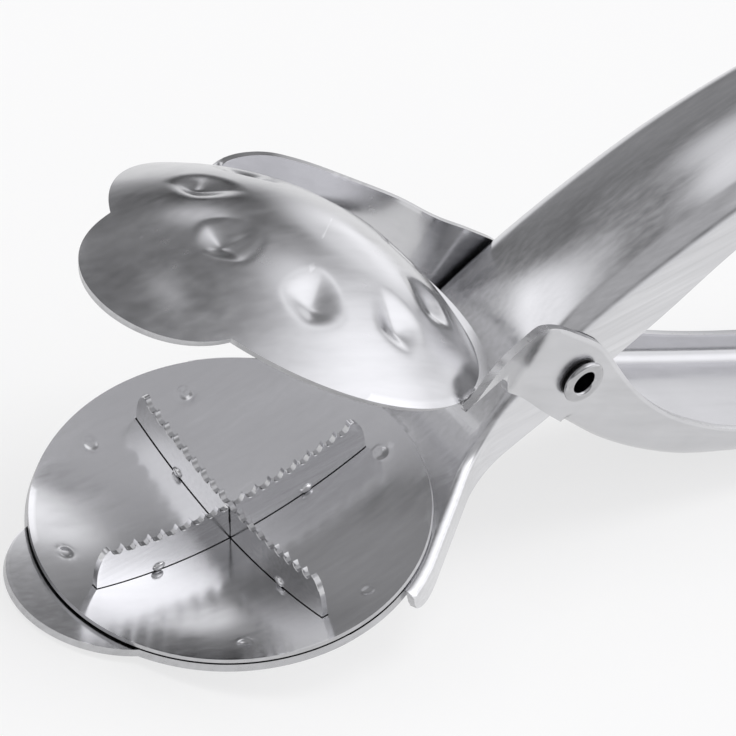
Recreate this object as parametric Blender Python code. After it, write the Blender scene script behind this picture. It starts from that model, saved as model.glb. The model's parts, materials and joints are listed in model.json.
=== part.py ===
# Chestnut cutter: two pressed steel levers that cross at a hollow rivet.
# The lower jaw holds a slotted dish with two crossed saw blades, and the upper jaw is a dimpled dome.
# Each piece is laid out in the tool's own frame: the dish's rim is the plane z = 0 with its centre at
# the origin, +X runs from the pivot to the tips of the jaws, and the pivot lies along Y.
# An empty then tilts the tool until it stands on its lower jaw and on the end of its lower handle.
import math

import bmesh
import bpy
from mathutils import Matrix, Vector

mm = 0.001

# Sheet metal, and the clearances between pieces
lever_sheet = 1.0 * mm
dish_sheet = 0.5 * mm
blade_sheet = 0.9 * mm
seat_gap = 0.3 * mm
pin_gap = 0.2 * mm
cut_overrun = 2.0 * mm
weld_distance = 0.001 * mm

# Dish in the lower jaw, and the spot-weld dents that hold it down
dish_radius = 27.0 * mm
dish_depth = 5.8 * mm
dent_radius = 1.1 * mm
dent_depth = 0.25 * mm
dent_inset = 4.1 * mm
dent_circle_radius = dish_radius - dent_inset
dent_degrees = (-109, -69, -18, 60, 108, 173)

# Blades
blade_inset = 5.1 * mm
blade_reach = dish_radius - blade_inset
blade_height = 7.0 * mm
blade_end_round = 2.5 * mm
tooth_depth = 1.2 * mm
teeth_per_arm = 9
bead_radius = 0.9 * mm
bead_place = 12.0 * mm

# Pivot behind the dish's rim and above its plane, and the hollow rivet
neck_length = 22.1 * mm
pivot_back = dish_radius + neck_length
pivot_up = 5.0 * mm
rivet_radius = 2.3 * mm
rivet_bore = 1.5 * mm
rivet_head_radius = 3.3 * mm
rivet_head_height = 1.2 * mm

# Lower jaw: the rim, the front tongue, and the side flanges that run back into the arm
lower_rim_overhang = 0.2 * mm
lower_rim_radius = dish_radius + lower_rim_overhang
lower_tongue_radius = 14.1 * mm
lower_tongue_overhang = 6.1 * mm
lower_tongue_centre = dish_radius + lower_tongue_overhang - lower_tongue_radius
tongue_slope_share = 0.42
lower_flange_degrees = 113
lower_flange_height = 5.0 * mm
lower_flange_corner = 5.0 * mm
jaw_bend_radius = 1.5 * mm
lower_neck_margin = 0.3 * mm
lower_neck_radius = dish_radius + lower_neck_margin + jaw_bend_radius

# Arm and upper handle: one channel, open downwards
arm_half_width = 10.9 * mm
arm_web_height = 7.8 * mm
arm_depth = 12.4 * mm
upper_handle_length = 100.9 * mm
upper_handle_rise = 12.4 * mm
upper_handle_depth = 7.2 * mm
upper_handle_end_half_width = 9.4 * mm
upper_handle_bend_radius = 4.3 * mm
upper_handle_crown = 1.0 * mm

# Upper jaw: the dome, its tongue and its dimples
open_degrees = 34.5
jaw_spacing = 8.4 * mm
dome_inset = 0.4 * mm
dome_radius = dish_radius - dome_inset
dome_height = 9.5 * mm
dome_tongue_radius = 13.7 * mm
dome_tongue_overhang = 7.1 * mm
dome_tongue_centre = dome_radius + dome_tongue_overhang - dome_tongue_radius
dome_tongue_slope_share = 0.6
dimple_radius = 3.6 * mm
dimple_depth = 1.1 * mm
dimple_inset = 9.1 * mm
dimple_circle_radius = dome_radius - dimple_inset
dimple_count = 8

# Ears and lower handle: one channel, open upwards, whose web starts behind the pivot
ear_front_degrees = 105
ear_joined_degrees = 138
ear_front_height = 5.7 * mm
ear_front_corner = 9.0 * mm
ear_below_pivot = 6.9 * mm
ear_above_pivot = 5.8 * mm
ear_bend_radius = 2.0 * mm
dome_neck_margin = 0.5 * mm
dome_neck_radius = dome_radius + dome_neck_margin + ear_bend_radius
lower_web_start = 3.6 * mm
lower_handle_length = 100.9 * mm
lower_handle_drop = 13.3 * mm
lower_handle_lift = 7.2 * mm
lower_handle_depth = 5.4 * mm
lower_handle_end_half_width = 10.6 * mm
lower_handle_bend_radius = 3.0 * mm
ear_half_width = arm_half_width + seat_gap + lever_sheet

# Where each neck leaves its jaw's circle, and how softly it turns into the straight channel
lower_turn_degrees = 128
upper_turn_degrees = 119
neck_blend = 4.5 * mm

# Side lines of the levers, as shares of a run along X and of a rise along Z
neck_web_shares = ((0.0, 0.0), (0.09, 0.02), (0.28, 0.13), (0.46, 0.41), (0.69, 0.69), (1.0, 1.0))
upper_web_shares = ((0.07, 0.23), (0.17, 0.49), (0.29, 0.73), (0.44, 0.9), (0.62, 1.0), (0.82, 0.95),
                    (1.0, 0.81))
neck_depth_shares = ((0.0, 0.0), (0.22, 0.1), (0.35, 0.33), (0.57, 0.63), (0.78, 0.9), (1.0, 1.0))
upper_depth_shares = ((0.07, 0.92), (0.13, 0.86), (0.28, 0.34), (0.44, 0.03), (0.6, 0.0), (1.0, 0.0))
ear_line_shares = ((0.41, -0.06), (0.5, -0.02), (0.58, 0.14), (0.69, 0.5), (0.82, 0.7), (0.97, 0.96),
                   (1.0, 1.0))
ear_top_front_shares = ((0.2, 0.8), (0.41, 1.0), (0.6, 1.0))
ear_top_rear_shares = ((0.74, 0.72), (0.83, 0.56), (0.9, 0.33), (1.0, 0.0))
lower_web_shares = ((0.05, 0.25), (0.15, 0.7), (0.24, 0.92), (0.32, 1.0))
lower_lift_shares = ((0.43, 0.1), (0.61, 0.32), (0.8, 0.63), (1.0, 1.0))
lower_depth_shares = ((0.05, 0.85), (0.11, 0.62), (0.19, 0.37), (0.27, 0.2), (0.39, 0.0), (1.0, 0.0))
handle_narrowing_share = 0.21
swell_start_share = 0.36

# Depth of the flanges' front corners, as a share of the flange below or above its bend
corner_depth_share = 0.9

# How far the ears' lower edges turn in where the jaw and the web begin
turn_in_share = 0.8
half_turned_share = 0.5

# One tooth gap of a blade, as shares of the pitch and of the tooth's depth
gullet_shares = ((0.0, 0.0), (0.16, 0.7), (0.38, 1.0), (0.62, 1.0), (0.84, 0.7))

# Rings of the jaws' faces, as shares of their radius
cup_ring_shares = (0.0, 0.22, 0.42, 0.6, 0.76, 0.9, 1.0)
dome_ring_shares = (0.0, 0.2, 0.38, 0.5, 0.56, 0.61, 0.66, 0.71, 0.77, 0.86, 1.0)

# Fineness of the curves
tongue_steps = 6
rim_steps = 14
neck_steps = 5
arm_steps = 4
ear_steps = 3
turn_in_steps = 3
handle_steps = 10
end_steps = 5
rear_rim_steps = 7
web_columns = 6
bend_steps = 3
side_steps = 2
skirt_steps = 3
round_steps = 28
head_steps = 8
dish_steps = 64
foot_steps = 8

# Where a jaw's edge lies this close to its circle, the circle's ring is the edge
jaw_edge_tolerance = 0.6 * mm


def clear_scene():
    for old in list(bpy.data.objects):
        bpy.data.objects.remove(old, do_unlink=True)


def steel(name, lightness, roughness):
    material = bpy.data.materials.new(name)
    material.use_nodes = True
    shader = material.node_tree.nodes["Principled BSDF"]
    shader.inputs["Base Color"].default_value = (lightness, lightness, lightness, 1.0)
    shader.inputs["Roughness"].default_value = roughness
    shader.inputs["Metallic"].default_value = 1.0
    return material


def add_object(name, builder, parent, material=None):
    mesh = bpy.data.meshes.new(name)
    builder.to_mesh(mesh)
    builder.free()
    if material:
        mesh.materials.append(material)
    mesh.shade_smooth()
    mesh.set_sharp_from_angle(angle=math.radians(35))
    item = bpy.data.objects.new(name, mesh)
    bpy.context.scene.collection.objects.link(item)
    item.parent = parent
    return item


def add_empty(name, parent):
    empty = bpy.data.objects.new(name, None)
    bpy.context.scene.collection.objects.link(empty)
    empty.parent = parent
    return empty


def add_sheet_thickness(item, thickness):
    sheet = item.modifiers.new("sheet", "SOLIDIFY")
    sheet.thickness = thickness
    sheet.offset = -1
    sheet.use_even_offset = True


def combine(item, tool, operation):
    tool.hide_render = True
    tool.display_type = "WIRE"
    change = item.modifiers.new(tool.name, "BOOLEAN")
    change.object = tool
    change.operation = operation
    change.solver = "EXACT"


def add_rows(builder, rows, closed=False, flipped=False):
    # A net of quads over rows of points that all have the same number of points
    count = len(rows[0])
    corners = [[builder.verts.new(point) for point in row] for row in rows]
    for upper, lower in zip(corners, corners[1:]):
        for index in range(count if closed else count - 1):
            after = (index + 1) % count
            quad = [upper[index], lower[index], lower[after], upper[after]]
            builder.faces.new(reversed(quad) if flipped else quad)


def curve_through(points):
    # A smooth curve z(x) through points, which never overshoots between two of them
    points = sorted(points)
    slopes = [(high[1] - low[1]) / (high[0] - low[0]) for low, high in zip(points, points[1:])]
    tangents = [slopes[0]]
    for before, after in zip(slopes, slopes[1:]):
        tangents.append(2 * before * after / (before + after) if before * after > 0 else 0.0)
    tangents.append(slopes[-1])

    def height_at(x):
        x = min(max(x, points[0][0]), points[-1][0])
        index = 0
        while x > points[index + 1][0]:
            index += 1
        low, high = points[index], points[index + 1]
        run = high[0] - low[0]
        part = (x - low[0]) / run
        rest = 1 - part
        ends = low[1] * (1 + 2 * part) * rest * rest + high[1] * (1 + 2 * rest) * part * part
        return ends + run * part * rest * (tangents[index] * rest - tangents[index + 1] * part)

    return height_at


def along_line(shares, start, run, low, rise):
    # Points of a side line, from its shares: back from start by the run, up from low by the rise
    return [(start - run * back, low + rise * up) for back, up in shares]


def rim_distance(angle, rim_radius, tongue_radius, tongue_centre):
    # Distance from the jaw's centre to its edge: a disc with a round tongue at the front
    across = tongue_centre * math.sin(angle)
    if math.cos(angle) <= 0 or abs(across) >= tongue_radius:
        return rim_radius
    reach = tongue_centre * math.cos(angle) + math.sqrt(tongue_radius ** 2 - across ** 2)
    return max(rim_radius, reach)


def front_edge(rim_radius, tongue_radius, tongue_centre, end_angle):
    # Edge points from the tip, round the notch beside the tongue, to where the flange starts
    notch_cosine = rim_radius ** 2 + tongue_centre ** 2 - tongue_radius ** 2
    notch = math.acos(notch_cosine / (2 * rim_radius * tongue_centre))
    angles = [notch * step / tongue_steps for step in range(tongue_steps + 1)]
    angles += [notch + (end_angle - notch) * step / rim_steps for step in range(1, rim_steps)]
    edge = []
    for angle in angles:
        distance = rim_distance(angle, rim_radius, tongue_radius, tongue_centre)
        edge.append(Vector((distance * math.cos(angle), distance * math.sin(angle))))
    return edge


def neck_places(circle_radius, start_degrees, turn_degrees, half_width):
    # Outer side of a neck on +Y: round the jaw, along a tangent, then softly into the channel.
    # Each place is a point and the direction that faces out of the sheet there.
    places = []
    for step in range(neck_steps + 1):
        angle = math.radians(start_degrees + (turn_degrees - start_degrees) * step / neck_steps)
        outward = Vector((math.cos(angle), math.sin(angle)))
        places.append((circle_radius * outward, outward))
    leave, outward = places[-1]
    heading = Vector((-outward.y, outward.x))
    corner = leave + heading * (half_width - leave.y) / heading.y
    first = corner - heading * neck_blend
    last = corner - Vector((neck_blend, 0.0))
    for step in range(1, neck_steps - 1):
        places.append((leave.lerp(first, step / (neck_steps - 1)), outward))
    for step in range(neck_steps + 1):
        part = step / neck_steps
        before = first.lerp(corner, part)
        after = corner.lerp(last, part)
        turn = (after - before).normalized()
        places.append((before.lerp(after, part), Vector((turn.y, -turn.x))))
    return places


def evenly(start, end, steps):
    return [start + (end - start) * step / steps for step in range(1, steps + 1)]


def handle_places(stations, end_x, narrowing_x, half_width, end_half_width):
    # Outer side of a handle on +Y: straight, slightly narrower towards a half-round end
    places = []
    round_centre = Vector((end_x + end_half_width, 0.0))
    for x in stations + evenly(stations[-1], round_centre.x, handle_steps):
        part = min(max((narrowing_x - x) / (narrowing_x - round_centre.x), 0.0), 1.0)
        narrowing = (half_width - end_half_width) * part * part * (3 - 2 * part)
        places.append((Vector((x, half_width - narrowing)), Vector((0.0, 1.0))))
    for step in range(1, end_steps + 1):
        angle = math.pi / 2 * (1 + step / end_steps)
        outward = Vector((math.cos(angle), math.sin(angle)))
        places.append((round_centre + end_half_width * outward, outward))
    return places


def make_rib(place, bend_radius, start_angle, web_z, edge_z):
    # One cross-section of the bend and flange: from the web's edge, round the bend, to the free edge
    point, outward = place
    up = math.copysign(1, edge_z - web_z)
    rib = []
    for step in range(bend_steps + 1):
        angle = start_angle + (math.pi / 2 - start_angle) * step / bend_steps
        spot = point - bend_radius * (1 - math.sin(angle)) * outward
        lift = bend_radius * (math.cos(start_angle) - math.cos(angle))
        rib.append(Vector((spot.x, spot.y, web_z + up * lift)))
    low_z = rib[-1].z
    for step in range(1, side_steps + 1):
        rib.append(Vector((point.x, point.y, low_z + (edge_z - low_z) * step / side_steps)))
    return rib


def mirrored(points):
    return [Vector((point.x, -point.y, *point[2:])) for point in points]


def add_flanges(builder, ribs, flipped):
    add_rows(builder, ribs, flipped=flipped)
    add_rows(builder, [mirrored(rib) for rib in ribs], flipped=not flipped)


def add_web(builder, ribs, crowns, flipped):
    # The channel's web, from side to side, higher by the crown along its middle
    rows = []
    for rib, crown in zip(ribs, crowns):
        row = []
        for column in range(web_columns + 1):
            across = 1 - 2 * column / web_columns
            row.append(Vector((rib[0].x, rib[0].y * across, rib[0].z + crown * (1 - across * across))))
        rows.append(row)
    add_rows(builder, rows, flipped=flipped)


def add_jaw_face(builder, edge, ring_shares, ring_radius, height_at, flipped):
    # Rings from the centre out to the jaw's circle, then rows out to the edge where it lies further out
    rows = []
    for share in ring_shares:
        row = []
        for point in edge:
            near = point.length < ring_radius + jaw_edge_tolerance
            radius = share * (point.length if near else ring_radius)
            row.append(point.normalized() * radius)
        rows.append(row)
    circle = rows[-1]
    for step in range(1, skirt_steps + 1):
        rows.append([inner.lerp(outer, step / skirt_steps) for inner, outer in zip(circle, edge)])
    raised = [[Vector((point.x, point.y, height_at(point))) for point in row] for row in rows]
    add_rows(builder, raised, closed=True, flipped=flipped)


def dish_height(radius):
    return -dish_depth * (1 - (radius / dish_radius) ** 2)


def below_dish(radius, thickness):
    # Height of a surface a thickness below the dish's top face, measured square to it
    slope = 2 * dish_depth * radius / dish_radius ** 2
    return dish_height(radius) - thickness * math.sqrt(1 + slope ** 2)


def dome_underside(radius):
    return jaw_spacing + dome_height * (1 - (radius / dome_radius) ** 2)


def dimple_drop(point):
    # How far the dimples push the dome down at a point of its plan
    drop = 0.0
    for index in range(dimple_count):
        angle = 2 * math.pi * index / dimple_count
        centre = dimple_circle_radius * Vector((math.cos(angle), math.sin(angle)))
        off = (point - centre).length / dimple_radius
        if off < 1:
            drop += dimple_depth * (1 + math.cos(math.pi * off)) / 2
    return drop


def round_corner(distance, length, depth):
    # How far an oval corner cuts into a flange, at a distance along it from its front
    left = max(1 - distance / length, 0.0)
    return depth * (1 - math.sqrt(1 - left * left))


def lower_lever_lines():
    # Height of the web and depth of the flanges of the lower jaw's lever, along X
    rim_z = below_dish(dish_radius, dish_sheet + seat_gap)
    neck_run = pivot_back - dish_radius
    pivot_web_z = pivot_up + arm_web_height
    web_line = curve_through(
        along_line(neck_web_shares, -dish_radius, neck_run, rim_z, pivot_web_z - rim_z)
        + along_line(upper_web_shares, -pivot_back, upper_handle_length, pivot_web_z, upper_handle_rise))
    depth_line = curve_through(
        along_line(neck_depth_shares, -dish_radius, neck_run, lower_flange_height,
                   arm_depth - lower_flange_height)
        + along_line(upper_depth_shares, -pivot_back, upper_handle_length, upper_handle_depth,
                     arm_depth - upper_handle_depth))
    swell_line = curve_through(
        [(-dish_radius, 0.0), (-dish_radius - neck_run * swell_start_share, 0.0), (-pivot_back, 1.0)])
    return web_line, depth_line, swell_line


def build_lower_jaw_lever(tool):
    web_line, depth_line, swell_line = lower_lever_lines()
    neck = neck_places(lower_neck_radius, lower_flange_degrees, lower_turn_degrees, arm_half_width)
    handle = handle_places(evenly(neck[-1][0].x, -pivot_back - arm_depth, arm_steps),
                           -pivot_back - upper_handle_length,
                           -pivot_back - upper_handle_length * handle_narrowing_share,
                           arm_half_width, upper_handle_end_half_width)
    ribs = []
    crowns = []
    end_edge = upper_handle_end_half_width - upper_handle_bend_radius
    for place in neck + handle:
        point, outward = place
        swell = swell_line(point.x)
        bend_radius = jaw_bend_radius + (upper_handle_bend_radius - jaw_bend_radius) * swell
        crown_angle = math.atan(2 * upper_handle_crown * swell / (arm_half_width - bend_radius))
        edge_x = point.x - bend_radius * (1 - math.sin(crown_angle)) * outward.x
        web_z = web_line(edge_x)
        cut = round_corner((point - neck[0][0]).length, lower_flange_corner,
                           corner_depth_share * (lower_flange_height - jaw_bend_radius))
        ribs.append(make_rib(place, bend_radius, crown_angle, web_z, web_z - depth_line(point.x) + cut))
        crowns.append(upper_handle_crown * swell * min(ribs[-1][0].y / end_edge, 1.0) ** 2)

    def face_height(point):
        if point.length <= dish_radius:
            return below_dish(point.length, dish_sheet + seat_gap)
        if point.x > 0:
            rim_z = below_dish(dish_radius, dish_sheet + seat_gap)
            return rim_z + tongue_slope_share * (point.length - dish_radius)
        return web_line(point.x)

    rear = len(neck) - neck_steps // 2 - 1
    side = front_edge(lower_rim_radius, lower_tongue_radius, lower_tongue_centre,
                      math.radians(lower_flange_degrees))
    side += [rib[0].xy for rib in ribs[:rear + 1]]
    across = [1 - 2 * column / web_columns for column in range(1, web_columns)]
    rear_line = [Vector((side[-1].x, side[-1].y * share)) for share in across]

    builder = bmesh.new()
    add_flanges(builder, ribs, flipped=True)
    add_web(builder, ribs[rear:], crowns[rear:], flipped=False)
    add_jaw_face(builder, side + rear_line + mirrored(side[:0:-1]), cup_ring_shares, dish_radius,
                 face_height, flipped=False)
    bmesh.ops.remove_doubles(builder, verts=builder.verts, dist=weld_distance)
    lever = add_object("lower_jaw_lever", builder, tool, steel("lower_lever_steel", 0.62, 0.32))
    add_sheet_thickness(lever, lever_sheet)
    return lever


def upper_lever_lines():
    # Lower and upper side line of the upper jaw's lever, along X, while its jaw lies level
    ear_low_z = pivot_up - ear_below_pivot
    ear_high_z = jaw_spacing + ear_front_height
    drop_z = pivot_up - lower_handle_drop
    drop_x = -pivot_back - lower_handle_length * lower_web_shares[-1][0]
    low_line = curve_through(
        along_line(ear_line_shares, 0.0, pivot_back, jaw_spacing, ear_low_z - jaw_spacing)
        + along_line(lower_web_shares, -pivot_back, lower_handle_length, ear_low_z, drop_z - ear_low_z)
        + along_line(lower_lift_shares, -pivot_back, lower_handle_length, drop_z, lower_handle_lift))
    depths = along_line(lower_depth_shares, -pivot_back, lower_handle_length, lower_handle_depth,
                        ear_below_pivot + ear_above_pivot - lower_handle_depth)
    ear_top_z = pivot_up + ear_above_pivot
    high_line = curve_through(
        along_line(ear_top_front_shares, 0.0, pivot_back, jaw_spacing, ear_front_height)
        + along_line(ear_top_rear_shares, 0.0, pivot_back, ear_top_z, ear_high_z - ear_top_z)
        + [(x, low_line(x) + depth) for x, depth in depths])
    return low_line, high_line


def build_upper_jaw_lever(hinge):
    low_line, high_line = upper_lever_lines()
    web_start = -pivot_back - lower_web_start
    turn_in = web_start + lower_handle_bend_radius * turn_in_share
    neck = neck_places(dome_neck_radius, ear_front_degrees, upper_turn_degrees, ear_half_width)
    stations = evenly(neck[-1][0].x, turn_in, ear_steps) + evenly(turn_in, web_start, turn_in_steps)
    stations += evenly(web_start, web_start - ear_below_pivot - ear_above_pivot, arm_steps)
    handle = handle_places(stations, -pivot_back - lower_handle_length,
                           -pivot_back - lower_handle_length * handle_narrowing_share,
                           ear_half_width, lower_handle_end_half_width)

    def face_height(point):
        if point.length <= dome_radius:
            return dome_underside(point.length) - dimple_drop(point)
        if point.x > 0:
            return jaw_spacing - dome_tongue_slope_share * (point.length - dome_radius)
        return jaw_spacing

    ribs = []
    side = front_edge(dome_radius, dome_tongue_radius, dome_tongue_centre, math.radians(ear_front_degrees))
    joined = math.radians(ear_joined_degrees)
    for index, place in enumerate(neck + handle):
        point, outward = place
        angle = math.atan2(point.y, point.x)
        if angle < joined and index < len(neck):
            edge = point - ear_bend_radius * outward
            cut = round_corner((point - neck[0][0]).length, ear_front_corner,
                               corner_depth_share * (ear_front_height - ear_bend_radius))
            ribs.append(make_rib(place, ear_bend_radius, 0.0, face_height(edge), high_line(point.x) - cut))
            side.append(edge)
            last_joined = index
        elif point.x > turn_in:
            turned = math.pi / 2 * (half_turned_share if index == last_joined + 1 else 1.0)
            ribs.append(make_rib(place, ear_bend_radius, turned, low_line(point.x), high_line(point.x)))
        else:
            turned = math.pi / 2 * max((point.x - web_start) / (turn_in - web_start), 0.0)
            ribs.append(make_rib(place, lower_handle_bend_radius, turned,
                                 low_line(point.x), high_line(point.x)))
    rear_angle = math.atan2(side[-1].y, side[-1].x)
    for angle in evenly(rear_angle, math.pi, rear_rim_steps):
        side.append(side[-1].length * Vector((math.cos(angle), math.sin(angle))))
    web_ribs = [rib for rib in ribs if rib[0].x < web_start + weld_distance]

    builder = bmesh.new()
    add_flanges(builder, ribs, flipped=False)
    add_web(builder, web_ribs, [0.0] * len(web_ribs), flipped=True)
    add_jaw_face(builder, side + mirrored(side[-2:0:-1]), dome_ring_shares, dome_radius,
                 face_height, flipped=True)
    bmesh.ops.remove_doubles(builder, verts=builder.verts, dist=weld_distance)
    lever = add_object("upper_jaw_lever", builder, hinge, steel("upper_lever_steel", 0.66, 0.28))
    lever.location = (pivot_back, 0.0, -pivot_up)
    add_sheet_thickness(lever, lever_sheet)
    return lever


def add_box(name, parent, size, centre):
    builder = bmesh.new()
    bmesh.ops.create_cube(builder, size=1, matrix=Matrix.Translation(centre) @ Matrix.Diagonal((*size, 1)))
    return add_object(name, builder, parent)


def add_ball(name, parent, radius, centre):
    builder = bmesh.new()
    bmesh.ops.create_icosphere(builder, subdivisions=2, radius=radius, matrix=Matrix.Translation(centre))
    return add_object(name, builder, parent)


def build_blade_dish(tool):
    rows = []
    for share in cup_ring_shares:
        radius = dish_radius * share
        row = []
        for step in range(dish_steps):
            angle = 2 * math.pi * step / dish_steps
            row.append(Vector((radius * math.cos(angle), radius * math.sin(angle), dish_height(radius))))
        rows.append(row)
    builder = bmesh.new()
    add_rows(builder, rows, closed=True)
    bmesh.ops.remove_doubles(builder, verts=builder.verts, dist=weld_distance)
    dish = add_object("blade_dish", builder, tool, steel("dish_steel", 0.6, 0.2))
    add_sheet_thickness(dish, dish_sheet)

    slot_width = blade_sheet + 2 * seat_gap
    slot_length = 2 * (blade_reach + seat_gap)
    slot_height = 2 * (dish_depth + blade_height)
    centre = Vector((0.0, 0.0, 0.0))
    long_slot = add_box("long_slot", tool, (slot_length, slot_width, slot_height), centre)
    cross_slot = add_box("cross_slot", tool, (slot_width, slot_length, slot_height), centre)
    combine(dish, long_slot, "DIFFERENCE")
    combine(dish, cross_slot, "DIFFERENCE")

    ball_radius = (dent_radius ** 2 + dent_depth ** 2) / (2 * dent_depth)
    for degrees in dent_degrees:
        angle = math.radians(degrees)
        ball_z = dish_height(dent_circle_radius) - dent_depth + ball_radius
        centre = Vector((dent_circle_radius * math.cos(angle), dent_circle_radius * math.sin(angle), ball_z))
        combine(dish, add_ball("dent", tool, ball_radius, centre), "DIFFERENCE")
    return dish


def blade_outline():
    # Half of the blade's outline, from the middle of its foot round the end to its middle tooth
    foot = [Vector((x, below_dish(x, dish_sheet))) for x in evenly(0.0, blade_reach, foot_steps)]
    last_tip = blade_reach - blade_end_round
    base_z = dish_height(blade_reach)
    rise = dish_height(last_tip) + blade_height - base_z
    end = []
    for angle in evenly(-math.pi / 2, math.pi / 2, end_steps):
        if angle > 0:
            end.append(Vector((last_tip + blade_end_round * math.cos(angle), base_z + rise * math.sin(angle))))
    pitch = last_tip / teeth_per_arm
    teeth = []
    for tooth in range(teeth_per_arm):
        for along, down in gullet_shares:
            x = last_tip - pitch * (tooth + along)
            teeth.append(Vector((x, dish_height(x) + blade_height - tooth_depth * down)))
    return foot + [Vector((blade_reach, base_z))] + end + teeth


def build_blade(name, tool, turn, bead_side):
    half = blade_outline()
    outline = half + [Vector((-point.x, point.y)) for point in reversed(half)]
    builder = bmesh.new()
    corners = [builder.verts.new((point.x, -blade_sheet / 2, point.y)) for point in outline]
    face = builder.faces.new(corners)
    swept = bmesh.ops.extrude_face_region(builder, geom=[face])
    moved = [part for part in swept["geom"] if isinstance(part, bmesh.types.BMVert)]
    bmesh.ops.translate(builder, verts=moved, vec=(0.0, blade_sheet, 0.0))
    bmesh.ops.recalc_face_normals(builder, faces=builder.faces)
    blade = add_object(name, builder, tool, steel(name + "_steel", 0.58, 0.28))
    blade.rotation_euler = (0.0, 0.0, turn)
    for place in (-bead_place, bead_place):
        bead_z = dish_height(bead_place) + seat_gap + bead_radius
        bead = add_ball("weld_bead", blade, bead_radius, Vector((place, bead_side * blade_sheet / 2, bead_z)))
        combine(blade, bead, "UNION")
    return blade


def build_blades(tool):
    # The two blades are halved into each other: the cross blade runs through above the long one
    foot_z = below_dish(0.0, dish_sheet)
    crown_z = dish_height(0.0) + blade_height
    middle_z = (foot_z + crown_z) / 2
    width = blade_sheet + 2 * seat_gap
    height = crown_z - foot_z
    cross_blade = build_blade("cross_blade", tool, math.pi / 2, -1)
    low_centre = Vector((0.0, 0.0, middle_z + seat_gap / 2 - height / 2))
    combine(cross_blade, add_box("slot_below", tool, (width, width, height), low_centre), "DIFFERENCE")
    long_blade = build_blade("long_blade", tool, 0.0, 1)
    high_centre = Vector((0.0, 0.0, middle_z - seat_gap / 2 + height / 2))
    combine(long_blade, add_box("slot_above", tool, (width, width, height), high_centre), "DIFFERENCE")
    return [cross_blade, long_blade]


def build_pivot_rivet(tool):
    # A tube rolled outwards over both ears; its profile is spun round the pivot's axis
    seat = ear_half_width + seat_gap
    roll = (rivet_head_radius - rivet_bore) / 2
    head = []
    for angle in evenly(-math.pi / head_steps, math.pi, head_steps + 1):
        head.append((rivet_bore + roll + roll * math.cos(angle), seat + rivet_head_height * math.sin(angle)))
    half = [(rivet_radius, seat)] + head
    profile = half + [(radius, -along) for radius, along in reversed(half)]
    builder = bmesh.new()
    corners = [builder.verts.new((-pivot_back + radius, along, pivot_up)) for radius, along in profile]
    edges = [builder.edges.new((corners[index - 1], corners[index])) for index in range(len(corners))]
    bmesh.ops.spin(builder, geom=corners + edges, cent=(-pivot_back, 0.0, pivot_up), axis=(0, 1, 0),
                   angle=2 * math.pi, steps=round_steps, use_merge=True)
    bmesh.ops.recalc_face_normals(builder, faces=builder.faces)
    return add_object("pivot_rivet", builder, tool, steel("rivet_steel", 0.6, 0.25))


def add_pivot_hole(tool):
    length = 2 * (ear_half_width + cut_overrun)
    turn = Matrix.Translation((-pivot_back, 0.0, pivot_up)) @ Matrix.Rotation(math.pi / 2, 4, "X")
    builder = bmesh.new()
    bmesh.ops.create_cone(builder, cap_ends=True, segments=round_steps, depth=length,
                          radius1=rivet_radius + pin_gap, radius2=rivet_radius + pin_gap, matrix=turn)
    return add_object("pivot_hole", builder, tool)


def outline_points(items):
    # Every corner of the finished pieces, in world space
    bpy.context.view_layer.update()
    depsgraph = bpy.context.evaluated_depsgraph_get()
    points = []
    for item in items:
        finished = item.evaluated_get(depsgraph)
        mesh = finished.to_mesh()
        points += [finished.matrix_world @ corner.co for corner in mesh.vertices]
        finished.to_mesh_clear()
    return points


def resting_tilt(points):
    # Slope of the line that the tool rests on: of the lower hull's edges, the one below its middle
    middle_x = sum(point.x for point in points) / len(points)
    hull = []
    for x, z in sorted((point.x, point.z) for point in points):
        while len(hull) > 1:
            (x1, z1), (x2, z2) = hull[-2:]
            if (x2 - x1) * (z - z1) - (z2 - z1) * (x - x1) > 0:
                break
            hull.pop()
        hull.append((x, z))
    for (x1, z1), (x2, z2) in zip(hull, hull[1:]):
        if x1 <= middle_x <= x2:
            return math.atan2(z2 - z1, x2 - x1)
    return 0.0


def stand_up(tool, items):
    # Tilt the tool onto its two supports, then set it on z = 0 with its box centred on the origin
    tool.rotation_euler = (0.0, resting_tilt(outline_points(items)), 0.0)
    points = outline_points(items)
    low = Vector([min(point[axis] for point in points) for axis in range(3)])
    high = Vector([max(point[axis] for point in points) for axis in range(3)])
    tool.location = (-(low.x + high.x) / 2, -(low.y + high.y) / 2, -low.z)


def build_chestnut_cutter():
    clear_scene()
    tool = add_empty("tool", None)
    hinge = add_empty("upper_jaw_hinge", tool)
    hinge.location = (-pivot_back, 0.0, pivot_up)
    hinge.rotation_euler = (0.0, -math.radians(open_degrees), 0.0)
    hole = add_pivot_hole(tool)
    levers = [build_lower_jaw_lever(tool), build_upper_jaw_lever(hinge)]
    for lever in levers:
        combine(lever, hole, "DIFFERENCE")
    items = levers + [build_blade_dish(tool)] + build_blades(tool) + [build_pivot_rivet(tool)]
    stand_up(tool, items)


build_chestnut_cutter()
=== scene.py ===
import json
import math

import bmesh
import bpy
from mathutils import Matrix, Vector


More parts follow.
